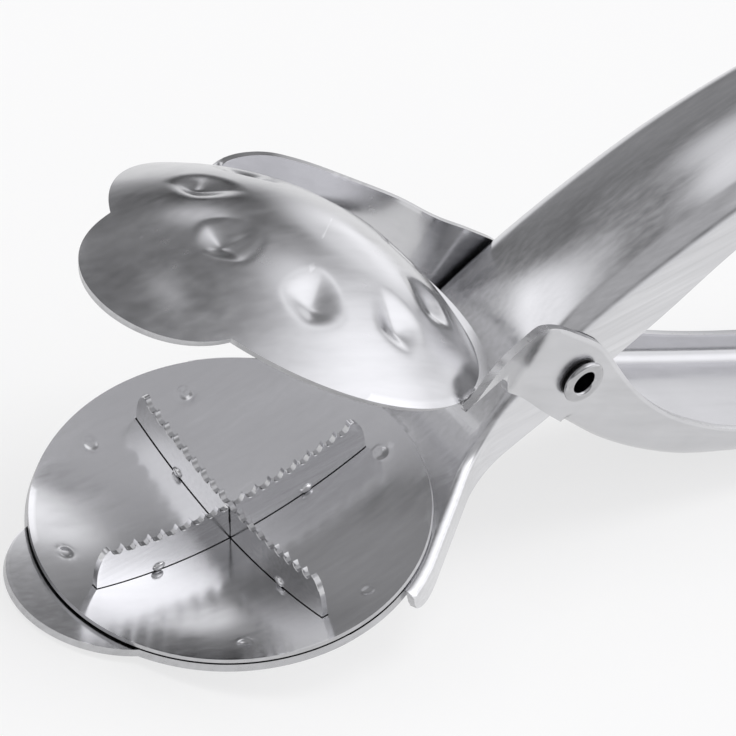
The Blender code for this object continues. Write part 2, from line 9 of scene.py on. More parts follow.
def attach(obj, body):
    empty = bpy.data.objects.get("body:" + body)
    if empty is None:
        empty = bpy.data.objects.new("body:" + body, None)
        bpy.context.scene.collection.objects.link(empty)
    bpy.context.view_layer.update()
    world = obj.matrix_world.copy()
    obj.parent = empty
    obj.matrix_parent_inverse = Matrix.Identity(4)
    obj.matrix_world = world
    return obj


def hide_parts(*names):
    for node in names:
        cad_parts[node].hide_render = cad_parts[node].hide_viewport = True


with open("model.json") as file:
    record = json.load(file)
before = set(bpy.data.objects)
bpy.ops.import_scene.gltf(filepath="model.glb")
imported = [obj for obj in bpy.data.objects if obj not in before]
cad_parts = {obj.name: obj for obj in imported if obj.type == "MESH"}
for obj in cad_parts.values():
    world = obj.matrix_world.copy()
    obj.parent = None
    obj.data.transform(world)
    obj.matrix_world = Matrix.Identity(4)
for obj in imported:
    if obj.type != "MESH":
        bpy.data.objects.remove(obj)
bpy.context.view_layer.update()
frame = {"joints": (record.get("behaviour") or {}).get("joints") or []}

# Chestnut cutter: every pressed piece is laid out in the tool's own frame, where the dish's rim is
# level at z = 0 with its centre at the origin, and the jaws point along +X. It is then tilted into place.
mm = 0.001
stance = dict(
    pivot=Vector(frame["joints"][0]["pos_m"]),
    pivotBack=49.1 * mm,
    pivotUp=5.0 * mm,
    tiltDegrees=19.2,      # the tool stands on its lower jaw and on the end of its lower handle
    openDegrees=34.5,      # how far the upper jaw is open at rest
)
sheets = dict(lever=1.0 * mm, dish=0.5 * mm, blade=0.9 * mm, gap=0.3 * mm, weld=0.002 * mm)
fineness = dict(
    station=0.7 * mm,
    ring=0.6 * mm,
    column=0.5 * mm,
    skirtRows=14,
    webColumns=20,
    lineSamples=9,
    sharpDegrees=50,       # edges sharper than this are rounded, or shaded as edges
    flatSide=0.9,          # a face belongs to a flat side where its normal's Y is past this
)


def toolPlace():
    pivotInTool = Vector((-stance["pivotBack"], 0, stance["pivotUp"]))
    tilt = Matrix.Rotation(math.radians(stance["tiltDegrees"]), 4, "Y")
    return Matrix.Translation(stance["pivot"]) @ tilt @ Matrix.Translation(-pivotInTool)


def openJawPlace():
    pivotInTool = Matrix.Translation((-stance["pivotBack"], 0, stance["pivotUp"]))
    opening = Matrix.Rotation(-math.radians(stance["openDegrees"]), 4, "Y")
    return toolPlace() @ pivotInTool @ opening @ pivotInTool.inverted()


# Small helpers for smooth shapes

def stepsOver(length, spacing):
    return max(2, round(length / spacing))


def evenly(start, end, steps):
    return [start + (end - start) * step / steps for step in range(1, steps + 1)]


def ease(share):
    share = min(max(share, 0.0), 1.0)
    return share * share * (3 - 2 * share)


def lineThrough(points):
    # a smooth line z(x) through points, which never overshoots between two of them
    points = sorted(points)
    slopes = [(high[1] - low[1]) / (high[0] - low[0]) for low, high in zip(points, points[1:])]
    tangents = [slopes[0]]
    for before, after in zip(slopes, slopes[1:]):
        tangents.append(2 * before * after / (before + after) if before * after > 0 else 0.0)
    tangents.append(slopes[-1])

    def heightAt(x):
        x = min(max(x, points[0][0]), points[-1][0])
        index = 0
        while x > points[index + 1][0]:
            index += 1
        low, high = points[index], points[index + 1]
        run = high[0] - low[0]
        part = (x - low[0]) / run
        rest = 1 - part
        ends = low[1] * (1 + 2 * part) * rest * rest + high[1] * (1 + 2 * rest) * part * part
        return ends + run * part * rest * (tangents[index] * rest - tangents[index + 1] * part)

    return heightAt


def softLine(points, reach):
    # the same line, averaged over the reach to either side so that reflections run over it evenly
    line = lineThrough(points)
    samples = fineness["lineSamples"]
    shifts = [reach * (2 * sample / (samples - 1) - 1) for sample in range(samples)]
    return lambda x: sum(line(x + shift) for shift in shifts) / samples


def sideLine(shares, start, run, low, rise):
    # points of a side line from its shares: back from start by the run, up from low by the rise
    return [(start - run * back, low + rise * up) for back, up in shares]


# Growing a sheet: a row of edges is extruded row by row, and each corner keeps its column's number

def growRows(builder, columns, rows, spotAt):
    column = builder.verts.layers.int.get("column") or builder.verts.layers.int.new("column")
    corners = [builder.verts.new(spotAt(0, index)) for index in range(columns)]
    for index, corner in enumerate(corners):
        corner[column] = index
    edges = [builder.edges.new(pair) for pair in zip(corners, corners[1:])]
    for row in range(1, rows):
        grown = bmesh.ops.extrude_edge_only(builder, edges=edges)["geom"]
        edges = [part for part in grown if isinstance(part, bmesh.types.BMEdge)]
        for corner in grown:
            if isinstance(corner, bmesh.types.BMVert):
                corner.co = spotAt(row, corner[column])


def mirrorAcross(builder):
    everything = builder.verts[:] + builder.edges[:] + builder.faces[:]
    bmesh.ops.mirror(builder, geom=everything, matrix=Matrix.Identity(4), axis="Y",
                     merge_dist=sheets["weld"])


def tidySheet(builder, faceUp):
    # welds the rows together and turns the faces so that the jaw's middle faces up or down
    bmesh.ops.remove_doubles(builder, verts=builder.verts, dist=sheets["weld"])
    bmesh.ops.dissolve_degenerate(builder, edges=builder.edges, dist=sheets["weld"])
    bmesh.ops.recalc_face_normals(builder, faces=builder.faces)
    middle = min(builder.faces, key=lambda face: face.calc_center_median().xy.length)
    if (middle.normal.z > 0) != faceUp:
        bmesh.ops.reverse_faces(builder, faces=builder.faces)


def cutRivetHole(builder):
    # opens a round hole through both side walls: the faces inside go, and their rim is drawn to a circle
    centre = Vector((-stance["pivotBack"], 0, stance["pivotUp"]))
    radius = channels["holeRadius"]

    def reachOf(spot):
        return Vector((spot.x - centre.x, spot.z - centre.z))

    inside = [face for face in builder.faces if abs(face.normal.y) > fineness["flatSide"]
              and all(reachOf(corner.co).length < radius * channels["holeTaken"] for corner in face.verts)]
    bmesh.ops.delete(builder, geom=inside, context="FACES")
    for corner in builder.verts:
        reach = reachOf(corner.co)
        if corner.is_boundary and reach.length < radius * channels["holeDrawn"]:
            reach = reach.normalized() * radius
            corner.co = Vector((centre.x + reach.x, corner.co.y, centre.z + reach.y))


def addPiece(name, builder, place, material, body, node):
    builder.transform(place)
    mesh = bpy.data.meshes.new(name)
    builder.to_mesh(mesh)
    builder.free()
    mesh.materials.append(material)
    mesh.shade_smooth()
    piece = bpy.data.objects.new(name, mesh)
    bpy.context.scene.collection.objects.link(piece)
    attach(piece, body)
    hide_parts(node)
    print(name, "with", len(mesh.polygons), "faces")
    return piece


def giveThickness(piece, thickness, edgeSteel):
    # the sheared edge of the sheet is duller than its faces
    piece.data.materials.append(edgeSteel)
    wall = piece.modifiers.new("wall", "SOLIDIFY")
    wall.thickness = thickness
    wall.offset = -1
    wall.use_even_offset = True
    wall.material_offset_rim = 1


def roundEdges(piece, width, segments):
    rounding = piece.modifiers.new("rounding", "BEVEL")
    rounding.width = width
    rounding.segments = segments
    rounding.limit_method = "ANGLE"
    rounding.angle_limit = math.radians(fineness["sharpDegrees"])
    rounding.harden_normals = True


# Nodes; their owner is a material or the world

def addNode(owner, kind, **settings):
    node = owner.node_tree.nodes.new(kind)
    for name, value in settings.items():
        setattr(node, name, value)
    return node


def mapTo(owner, value, lowFrom, highFrom, lowTo, highTo, soft=False):
    node = addNode(owner, "ShaderNodeMapRange", interpolation_type="SMOOTHSTEP" if soft else "LINEAR")
    node.inputs["From Min"].default_value = lowFrom
    node.inputs["From Max"].default_value = highFrom
    node.inputs["To Min"].default_value = lowTo
    node.inputs["To Max"].default_value = highTo
    owner.node_tree.links.new(value, node.inputs["Value"])
    return node.outputs["Result"]


def combineValues(owner, operation, first, second):
    node = addNode(owner, "ShaderNodeMath", operation=operation)
    for value, socket in zip((first, second), node.inputs):
        if isinstance(value, (int, float)):
            socket.default_value = value
        else:
            owner.node_tree.links.new(value, socket)
    return node.outputs["Value"]


# Steel finishes

def grainNoise(material, coordinates, turn, scales, detail):
    # noise stretched along the grain; turn is the grain's angle about Y
    mapping = addNode(material, "ShaderNodeMapping", vector_type="POINT")
    mapping.inputs["Rotation"].default_value = (0, -turn, 0)
    scaling = addNode(material, "ShaderNodeMapping", vector_type="POINT")
    scaling.inputs["Scale"].default_value = scales
    grain = addNode(material, "ShaderNodeTexNoise")
    grain.inputs["Scale"].default_value = 1.0
    grain.inputs["Detail"].default_value = detail
    links = material.node_tree.links
    links.new(coordinates, mapping.inputs["Vector"])
    links.new(mapping.outputs["Vector"], scaling.inputs["Vector"])
    links.new(scaling.outputs["Vector"], grain.inputs["Vector"])
    return grain.outputs["Fac"]


def addBump(material, height, distance, normal=None):
    bump = addNode(material, "ShaderNodeBump")
    bump.inputs["Strength"].default_value = 1.0
    bump.inputs["Distance"].default_value = distance
    material.node_tree.links.new(height, bump.inputs["Height"])
    if normal:
        material.node_tree.links.new(normal, bump.inputs["Normal"])
    return bump.outputs["Normal"]


wear = dict(
    edgeRange=(0.53, 0.6),       # pointiness from which an edge looks rubbed, and where it is fully so
    edgeSmoothing=0.06,
    streakRange=(0.25, 0.75),
    noiseRange=(0.3, 0.7),
    patchRoughness=0.04,
)


def steel(name, look):
    # brushed or polished steel: streaks along the grain, soft wear patches, bright rubbed edges
    material = bpy.data.materials.new(name)
    material.use_nodes = True
    links = material.node_tree.links
    shader = material.node_tree.nodes["Principled BSDF"]
    shader.inputs["Metallic"].default_value = 1.0
    coordinates = addNode(material, "ShaderNodeTexCoord").outputs["Object"]
    turn = math.radians(look["grainDegrees"])
    streaks = grainNoise(material, coordinates, turn, look["streaks"], detail=4.0)
    patches = grainNoise(material, coordinates, turn, look["patches"], detail=2.0)
    waves = grainNoise(material, coordinates, turn, look["waves"], detail=1.0)

    pointy = addNode(material, "ShaderNodeNewGeometry").outputs["Pointiness"]
    rubbed = mapTo(material, pointy, *wear["edgeRange"], 0.0, 1.0)
    streakTone = mapTo(material, streaks, *wear["streakRange"],
                       1 - look["streakTone"], 1 + look["streakTone"])
    patchTone = mapTo(material, patches, *wear["noiseRange"],
                      1 - look["patchTone"], 1 + look["patchTone"])
    rubbedTone = combineValues(material, "MULTIPLY", rubbed, look["rubbedTone"])
    tone = combineValues(material, "MULTIPLY", streakTone, patchTone)
    tone = combineValues(material, "ADD", tone, rubbedTone)
    colour = addNode(material, "ShaderNodeVectorMath", operation="SCALE")
    colour.inputs["Vector"].default_value = look["colour"]
    links.new(tone, colour.inputs["Scale"])
    links.new(colour.outputs["Vector"], shader.inputs["Base Color"])

    rough = mapTo(material, streaks, *wear["noiseRange"], *look["roughness"])
    patchy = mapTo(material, patches, *wear["noiseRange"], -wear["patchRoughness"], wear["patchRoughness"])
    smoother = combineValues(material, "MULTIPLY", rubbed, wear["edgeSmoothing"])
    rough = combineValues(material, "ADD", rough, patchy)
    rough = combineValues(material, "SUBTRACT", rough, smoother)
    links.new(rough, shader.inputs["Roughness"])

    normal = addBump(material, waves, look["waveDepth"])
    links.new(addBump(material, streaks, look["streakDepth"], normal), shader.inputs["Normal"])
    return material


leverLook = dict(
    colour=(0.67, 0.67, 0.685),
    grainDegrees=stance["tiltDegrees"],
    streaks=(60, 1500, 1500),    # noise along, across and up from the grain, in waves per metre
    patches=(60, 160, 160),
    waves=(40, 60, 60),
    streakTone=0.07,
    patchTone=0.035,
    rubbedTone=0.12,
    roughness=(0.17, 0.23),
    waveDepth=0.025 * mm,
    streakDepth=0.0015 * mm,
)
jawLook = dict(
    leverLook,
    colour=(0.58, 0.58, 0.595),
    grainDegrees=stance["tiltDegrees"] - stance["openDegrees"],
    streaks=(90, 700, 700),
    patches=(130, 200, 200),
    streakTone=0.05,
    roughness=(0.18, 0.25),
    waveDepth=0.06 * mm,
    streakDepth=0.001 * mm,
)
dishLook = dict(
    leverLook,
    colour=(0.68, 0.68, 0.695),
    streaks=(120, 800, 800),
    streakTone=0.03,
    roughness=(0.13, 0.19),
    waveDepth=0.12 * mm,
    streakDepth=0.0006 * mm,
)
bladeLook = dict(leverLook, colour=(0.74, 0.74, 0.75), roughness=(0.14, 0.22), waveDepth=0.02 * mm)
rivetLook = dict(leverLook, colour=(0.46, 0.46, 0.47), roughness=(0.08, 0.14), waveDepth=0.02 * mm)
edgeLook = dict(leverLook, colour=(0.46, 0.46, 0.47), roughness=(0.3, 0.42), streaks=(300, 1200, 1200),
                streakTone=0.12, waveDepth=0.02 * mm)
punchedLook = dict(edgeLook, colour=(0.5, 0.5, 0.51), roughness=(0.14, 0.24), rubbedTone=0.5)
# painted shade: near-black steel that stands in for the shadow on the rivet's neck under its rolled rim
paintedShadeLook = dict(leverLook, colour=(0.1, 0.1, 0.1), roughness=(0.4, 0.55), rubbedTone=0.0)

# Dish: a shallow round bowl with a cross of slots and six spot-weld dents
dish = dict(
    radius=27.0 * mm,
    depth=5.8 * mm,
    steps=240,
    edgeRound=0.1 * mm,
    slotGap=0.12 * mm,
    slotMargin=1.5 * mm,       # the slots' cuts run on this far past them
    dentCircle=22.9 * mm,
    dentDegrees=(-109, -69, -18, 60, 108, 173),
    dentRadius=1.0 * mm,
    dentDepth=0.1 * mm,
    dentFiner=1.8,             # finer faces round a dent, up to this many of its radii
    dentEnd=1.7,
    dentLip=0.25,              # height of the low lip round a dent, by the dent's depth
    dentLipPlace=1.15,
    dentLipWidth=0.4,
)
blade = dict(
    reach=21.9 * mm,
    height=7.0 * mm,
    endRound=2.5 * mm,
    endSteps=9,
    footSteps=20,
    toothDepth=1.2 * mm,
    teeth=9,
    gullet=((0.0, 0.0), (0.16, 0.7), (0.38, 1.0), (0.62, 1.0), (0.84, 0.7)),
    rounding=0.06 * mm,
    roundedDegrees=60,
    sharpDegrees=30,
    beadRadius=0.75 * mm,
    beadPlace=12.0 * mm,
    beadSquash=(1.3, 0.55, 0.9),
    beadLift=0.6,              # height of a bead's middle over its foot, by its radius
    beadDetail=3,
)


def dishHeight(radius):
    return -dish["depth"] * (1 - (radius / dish["radius"]) ** 2)


def belowDish(radius, thickness):
    # height of a surface a thickness below the bowl's top face, measured square to it
    slope = 2 * dish["depth"] * radius / dish["radius"] ** 2
    return dishHeight(radius) - thickness * math.sqrt(1 + slope ** 2)


def cutSlot(builder, alongX):
    # cuts one slot of the cross out of the bowl: four straight cuts, then the faces between them go
    halfWidth = sheets["blade"] / 2 + dish["slotGap"]
    halfLength = blade["reach"] + dish["slotGap"]
    reach = Vector((halfLength, halfWidth)) if alongX else Vector((halfWidth, halfLength))

    def liesWithin(face, margin):
        return all(abs(face.calc_center_median()[axis]) < reach[axis] + margin for axis in (0, 1))

    for axis in (0, 1):
        for side in (-1, 1):
            near = [face for face in builder.faces if liesWithin(face, dish["slotMargin"])]
            touched = set(near)
            for face in near:
                touched.update(face.edges)
                touched.update(face.verts)
            cutPlace = Vector((0, 0, 0))
            cutPlace[axis] = side * reach[axis]
            facing = Vector((0, 0, 0))
            facing[axis] = 1
            bmesh.ops.bisect_plane(builder, geom=list(touched), plane_co=cutPlace, plane_no=facing)
    gone = [face for face in builder.faces if liesWithin(face, 0.0)]
    bmesh.ops.delete(builder, geom=gone, context="FACES")


def pressDents(builder):
    # each spot-weld dent is a small hollow with a low lip round it
    for degrees in dish["dentDegrees"]:
        angle = math.radians(degrees)
        centre = Vector((math.cos(angle), math.sin(angle))) * dish["dentCircle"]
        finer = dish["dentRadius"] * dish["dentFiner"]
        around = [edge for edge in builder.edges
                  if all((corner.co.xy - centre).length < finer for corner in edge.verts)]
        bmesh.ops.subdivide_edges(builder, edges=around, cuts=2, use_grid_fill=True)
        for corner in builder.verts:
            off = (corner.co.xy - centre).length / dish["dentRadius"]
            if off < dish["dentEnd"]:
                lip = ease(1 - abs(off - dish["dentLipPlace"]) / dish["dentLipWidth"])
                corner.co.z = dishHeight(corner.co.xy.length)
                corner.co.z -= dish["dentDepth"] * (1 - ease(off * off)) if off < 1 else 0
                corner.co.z += dish["dentLip"] * dish["dentDepth"] * lip


def buildDish():
    builder = bmesh.new()
    rings = stepsOver(dish["radius"], fineness["ring"])
    profile = [builder.verts.new((radius, 0, dishHeight(radius)))
               for radius in [0.0] + evenly(0.0, dish["radius"], rings)]
    edges = [builder.edges.new(pair) for pair in zip(profile, profile[1:])]
    bmesh.ops.spin(builder, geom=profile + edges, cent=(0, 0, 0), axis=(0, 0, 1),
                   angle=2 * math.pi, steps=dish["steps"], use_merge=True)
    tidySheet(builder, faceUp=True)
    pressDents(builder)
    cutSlot(builder, alongX=True)
    cutSlot(builder, alongX=False)
    piece = addPiece("slotted_dish", builder, toolPlace(), steel("dish steel", dishLook),
                     "lower_jaw", "blade_dish")
    giveThickness(piece, sheets["dish"], steel("dish edge steel", edgeLook))
    roundEdges(piece, dish["edgeRound"], segments=2)


def bladeOutline(slotFromAbove):
    # outline of one blade: foot, round end, teeth, and half of the joint where the two blades cross
    half = sheets["blade"] / 2 + dish["slotGap"]
    lastTip = blade["reach"] - blade["endRound"]
    baseZ = dishHeight(blade["reach"])
    endRise = dishHeight(lastTip) + blade["height"] - baseZ
    middleZ = (belowDish(0.0, sheets["dish"]) + dishHeight(0.0) + blade["height"]) / 2
    middleZ += -sheets["gap"] / 2 if slotFromAbove else sheets["gap"] / 2
    footX = [half] + evenly(half, blade["reach"], blade["footSteps"])
    foot = [Vector((x, belowDish(x, sheets["dish"]))) for x in footX]
    end = [Vector((lastTip + blade["endRound"] * math.cos(angle), baseZ + endRise * math.sin(angle)))
           for angle in evenly(0.0, math.pi / 2, blade["endSteps"])]
    pitch = lastTip / blade["teeth"]
    teeth = []
    for tooth in range(blade["teeth"]):
        for along, down in blade["gullet"]:
            x = lastTip - pitch * (tooth + along)
            teeth.append(Vector((x, dishHeight(x) + blade["height"] - blade["toothDepth"] * down)))
    teeth = teeth[1:]
    if slotFromAbove:
        slotTop = teeth[-1].y
        teeth = [spot for spot in teeth if spot.x > half]
        teeth += [Vector((half, slotTop)), Vector((half, middleZ))]
    else:
        foot = [Vector((half, middleZ))] + foot
    side = foot + [Vector((blade["reach"], baseZ))] + end + teeth
    return side + [Vector((-spot.x, spot.y)) for spot in reversed(side)]


def addBeads(builder, side):
    # the two weld beads at a blade's foot, on one side of it
    footZ = dishHeight(blade["beadPlace"]) + sheets["gap"]
    squash = Matrix.Diagonal((*blade["beadSquash"], 1))
    for place in (-blade["beadPlace"], blade["beadPlace"]):
        spot = Vector((place, side * sheets["blade"] / 2, footZ + blade["beadRadius"] * blade["beadLift"]))
        bmesh.ops.create_icosphere(builder, subdivisions=blade["beadDetail"], radius=blade["beadRadius"],
                                   matrix=Matrix.Translation(spot) @ squash)


def buildBlade(name, node, turn, beadSide, slotFromAbove):
    builder = bmesh.new()
    outline = bladeOutline(slotFromAbove)
    corners = [builder.verts.new((spot.x, -sheets["blade"] / 2, spot.y)) for spot in outline]
    face = builder.faces.new(corners)
    swept = bmesh.ops.extrude_face_region(builder, geom=[face])["geom"]
    moved = [part for part in swept if isinstance(part, bmesh.types.BMVert)]
    bmesh.ops.translate(builder, verts=moved, vec=(0, sheets["blade"], 0))
    bmesh.ops.recalc_face_normals(builder, faces=builder.faces)
    bevelFrom = math.radians(blade["roundedDegrees"])
    sharp = [edge for edge in builder.edges if edge.calc_face_angle(0) > bevelFrom]
    bmesh.ops.bevel(builder, geom=sharp, offset=blade["rounding"], segments=1, profile=0.5,
                    affect="EDGES", material=-1, clamp_overlap=True)
    for face in builder.faces:
        isSide = abs(face.normal.y) > fineness["flatSide"]
        face.material_index = 0 if isSide else 1        # the punched edges have their own steel
    addBeads(builder, beadSide)
    place = toolPlace() @ Matrix.Rotation(turn, 4, "Z")
    steelName = name.replace("_", " ")
    piece = addPiece(name, builder, place, steel(steelName + " steel", bladeLook), "lower_jaw", node)
    piece.data.materials.append(steel(steelName + " edge steel", punchedLook))
    piece.data.set_sharp_from_angle(angle=math.radians(blade["sharpDegrees"]))


# Jaws and levers; pairs of numbers are shares: how far back along the lever, and how far up or down
lower = dict(
    edgeRound=0.25 * mm,
    lineReach=4.0 * mm,
    rimRadius=27.2 * mm,
    tongueRadius=14.1 * mm,
    tongueCentre=19.0 * mm,
    tongueSlope=0.42,
    flangeDegrees=113,
    turnDegrees=128,
    flangeHeight=5.0 * mm,
    flangeCorner=5.0 * mm,
    jawBend=1.5 * mm,
    neckRadius=28.8 * mm,
    halfWidth=10.9 * mm,
    webHeight=7.8 * mm,
    depth=12.4 * mm,
    length=100.9 * mm,
    rise=12.4 * mm,
    endDepth=7.2 * mm,
    endHalfWidth=9.4 * mm,
    handleBend=4.3 * mm,
    crown=1.0 * mm,
    neckWeb=((0.0, 0.0), (0.09, 0.02), (0.28, 0.13), (0.46, 0.41), (0.69, 0.69), (1.0, 1.0)),
    handleWeb=((0.07, 0.23), (0.17, 0.49), (0.29, 0.73), (0.44, 0.9), (0.62, 1.0), (0.82, 0.95),
               (1.0, 0.81)),
    neckDepth=((0.0, 0.0), (0.22, 0.1), (0.35, 0.33), (0.57, 0.63), (0.78, 0.9), (1.0, 1.0)),
    handleDepth=((0.07, 0.92), (0.13, 0.86), (0.28, 0.34), (0.44, 0.03), (0.6, 0.0), (1.0, 0.0)),
)
upper = dict(
    edgeRound=0.3 * mm,
    lineReach=2.0 * mm,
    spacing=8.4 * mm,
    radius=26.6 * mm,
    domeHeight=9.5 * mm,
    tongueRadius=13.7 * mm,
    tongueCentre=20.0 * mm,
    tongueSlope=0.6,
    dimpleCircle=16.6 * mm,
    dimpleDegrees=(0, 49, 94, 136, 180, -136, -94, -49),
    dimpleDepth=1.2 * mm,
    dimpleHalfWidth=5.0 * mm,
    dimpleOutward=4.4 * mm,
    dimpleInward=5.8 * mm,
    dimpleSquareness=1.6,
    nearEarDegrees=114,    # the ears were bent a little differently: the near one starts further back
    farEarDegrees=104,
    earJoinedDegrees=138,
    turnDegrees=119,
    earFrontHeight=5.7 * mm,
    earFrontCorner=9.0 * mm,
    earBelowPivot=6.9 * mm,
    earAbovePivot=5.8 * mm,
    earBend=1.5 * mm,
    twistLength=9.0 * mm,      # the sheet turns on edge over this length behind the dome
    turnIn=0.8,                # where the web's bend starts, by the handle's bend
    neckRadius=28.6 * mm,
    halfWidth=12.2 * mm,
    webStart=3.6 * mm,
    length=100.9 * mm,
    drop=13.3 * mm,
    lift=7.2 * mm,
    endDepth=5.4 * mm,
    endHalfWidth=10.6 * mm,
    handleBend=3.0 * mm,
    earLine=((0.41, -0.06), (0.5, -0.02), (0.58, 0.14), (0.69, 0.5), (0.82, 0.7), (0.97, 0.96),
             (1.0, 1.0)),
    earTopFront=((0.2, 0.8), (0.41, 1.0), (0.6, 1.0)),
    earTopRear=((0.74, 0.72), (0.83, 0.56), (0.9, 0.33), (1.0, 0.0)),
    handleWeb=((0.05, 0.25), (0.15, 0.7), (0.24, 0.92), (0.32, 1.0)),
    handleLift=((0.43, 0.1), (0.61, 0.32), (0.8, 0.63), (1.0, 1.0)),
    handleDepth=((0.05, 0.85), (0.11, 0.62), (0.19, 0.37), (0.27, 0.2), (0.39, 0.0), (1.0, 0.0)),
)
channels = dict(
    neckBlend=4.5 * mm,
    narrowing=0.21,
    cornerDepth=0.9,
    swellStart=0.36,
    holeRadius=2.5 * mm,
    holeTaken=1.05,            # faces that lie within this many radii go
    holeDrawn=1.6,             # and the corners left within this many are drawn to the rim
)


def rimDistance(angle, jaw, rimRadius):
    # distance from the jaw's centre to its edge: a disc with a round tongue at the front
    across = jaw["tongueCentre"] * math.sin(angle)
    if math.cos(angle) <= 0 or abs(across) >= jaw["tongueRadius"]:
        return rimRadius
    reach = jaw["tongueCentre"] * math.cos(angle) + math.sqrt(jaw["tongueRadius"] ** 2 - across ** 2)
    return max(rimRadius, reach)


def frontEdge(jaw, rimRadius, endAngle):
    # edge from the tip, round the notch beside the tongue, to where the flange starts
    notchCosine = rimRadius ** 2 + jaw["tongueCentre"] ** 2 - jaw["tongueRadius"] ** 2
    notch = math.acos(notchCosine / (2 * rimRadius * jaw["tongueCentre"]))
    angles = [0.0] + evenly(0.0, notch, stepsOver(notch * rimRadius, fineness["column"]))
    angles += evenly(notch, endAngle, stepsOver((endAngle - notch) * rimRadius, fineness["column"]))[:-1]
    return [rimDistance(angle, jaw, rimRadius) * Vector((math.cos(angle), math.sin(angle)))
            for angle in angles]


def neckPath(radius, startDegrees, turnDegrees, halfWidth):
    # outer side of a neck: round the jaw, along a tangent, then softly into the straight channel;
    # each place is a point and the direction that faces out of the sheet there
    start, turn = math.radians(startDegrees), math.radians(turnDegrees)
    places = []
    for angle in [start] + evenly(start, turn, stepsOver((turn - start) * radius, fineness["station"])):
        outward = Vector((math.cos(angle), math.sin(angle)))
        places.append((radius * outward, outward))
    leave, outward = places[-1]
    heading = Vector((-outward.y, outward.x))
    corner = leave + heading * (halfWidth - leave.y) / heading.y
    first = corner - heading * channels["neckBlend"]
    last = corner - Vector((channels["neckBlend"], 0))
    for part in evenly(0.0, 1.0, stepsOver((first - leave).length, fineness["station"])):
        places.append((leave.lerp(first, part), outward))
    for part in evenly(0.0, 1.0, stepsOver(2 * channels["neckBlend"], fineness["station"])):
        before, after = first.lerp(corner, part), corner.lerp(last, part)
        heading = (after - before).normalized()
        places.append((before.lerp(after, part), Vector((heading.y, -heading.x))))
    return places


def handlePath(startX, endX, narrowingX, halfWidth, endHalfWidth):
    # outer side of a handle: straight, slightly narrower towards a half-round end
    places = []
    roundCentre = Vector((endX + endHalfWidth, 0))
    for x in evenly(startX, roundCentre.x, stepsOver(startX - roundCentre.x, fineness["station"])):
        narrowing = (halfWidth - endHalfWidth) * ease((narrowingX - x) / (narrowingX - roundCentre.x))
        places.append((Vector((x, halfWidth - narrowing)), Vector((0, 1))))
    for part in evenly(0.0, 1.0, stepsOver(math.pi / 2 * endHalfWidth, fineness["station"])):
        angle = math.pi / 2 * (1 + part)
        outward = Vector((math.cos(angle), math.sin(angle)))
        places.append((roundCentre + endHalfWidth * outward, outward))
    return places


def ribSpot(rib, share):
    # a spot on one cross-section: from the web's edge, round the bend, to the flange's free edge
    point, outward, bend, startAngle, webZ, edgeZ = rib
    up = math.copysign(1, edgeZ - webZ)
    arc = bend * (math.pi / 2 - startAngle)
    straight = abs(edgeZ - webZ) - bend * math.cos(startAngle)
    along = share * (arc + straight)
    angle = min(startAngle + along / bend, math.pi / 2)
    flat = point - bend * (1 - math.sin(angle)) * outward
    lift = bend * (math.cos(startAngle) - math.cos(angle)) + max(along - arc, 0.0)
    return Vector((flat.x, flat.y, webZ + up * lift))


def growFlange(builder, ribs, columns):
    growRows(builder, columns + 1, len(ribs), lambda row, column: ribSpot(ribs[row], column / columns))


def growWeb(builder, ribs, crowns, columns):
    # the channel's web, from its bend to the middle line, where it is higher by the crown
    def spotAt(row, column):
        across = 1 - column / columns
        edge = ribSpot(ribs[row], 0.0)
        return Vector((edge.x, edge.y * across, edge.z + crowns[row] * (1 - across * across)))
    growRows(builder, columns + 1, len(ribs), spotAt)


def growJaw(builder, edgeLine, ringRadius, heightAt):
    # rings from the centre out to the jaw's circle, then rows out to the edge where it lies further out
    rings = stepsOver(ringRadius, fineness["ring"])
    skirtRows = fineness["skirtRows"]

    def spotAt(row, column):
        edge = edgeLine[column]
        reach = edge.length if edge.length < ringRadius + fineness["ring"] else ringRadius
        flat = edge.normalized() * reach * min(row / rings, 1.0)
        flat = flat.lerp(edge, max(row - rings, 0) / skirtRows)
        return Vector((flat.x, flat.y, heightAt(flat)))
    growRows(builder, len(edgeLine), rings + skirtRows + 1, spotAt)


def cornerCut(place, first, length, height):
    # how far the oval front corner cuts into a flange
    left = max(1 - (place[0] - first[0]).length / length, 0.0)
    return channels["cornerDepth"] * height * (1 - math.sqrt(1 - left * left))


def lowerLines():
    # side lines of the lower lever: its web's height, its channel's depth, and how far its crown has grown
    front = -dish["radius"]
    back = -stance["pivotBack"]
    run = front - back
    rimZ = belowDish(dish["radius"], sheets["dish"] + sheets["gap"])
    pivotWebZ = stance["pivotUp"] + lower["webHeight"]
    webPoints = sideLine(lower["neckWeb"], front, run, rimZ, pivotWebZ - rimZ)
    webPoints += sideLine(lower["handleWeb"], back, lower["length"], pivotWebZ, lower["rise"])
    depthPoints = sideLine(lower["neckDepth"], front, run, lower["flangeHeight"],
                           lower["depth"] - lower["flangeHeight"])
    depthPoints += sideLine(lower["handleDepth"], back, lower["length"], lower["endDepth"],
                            lower["depth"] - lower["endDepth"])
    swellPoints = [(front, 0.0), (front - run * channels["swellStart"], 0.0), (back, 1.0)]
    return [softLine(points, lower["lineReach"]) for points in (webPoints, depthPoints, swellPoints)]


def lowerHeight(flat, webLine):
    # the cup under the dish, the tongue in front, and behind the cup the neck's web
    rimZ = belowDish(dish["radius"], sheets["dish"] + sheets["gap"])
    if flat.length <= dish["radius"]:
        return belowDish(flat.length, sheets["dish"] + sheets["gap"])
    if flat.x > 0:
        return rimZ + lower["tongueSlope"] * (flat.length - dish["radius"])
    return webLine(flat.x)


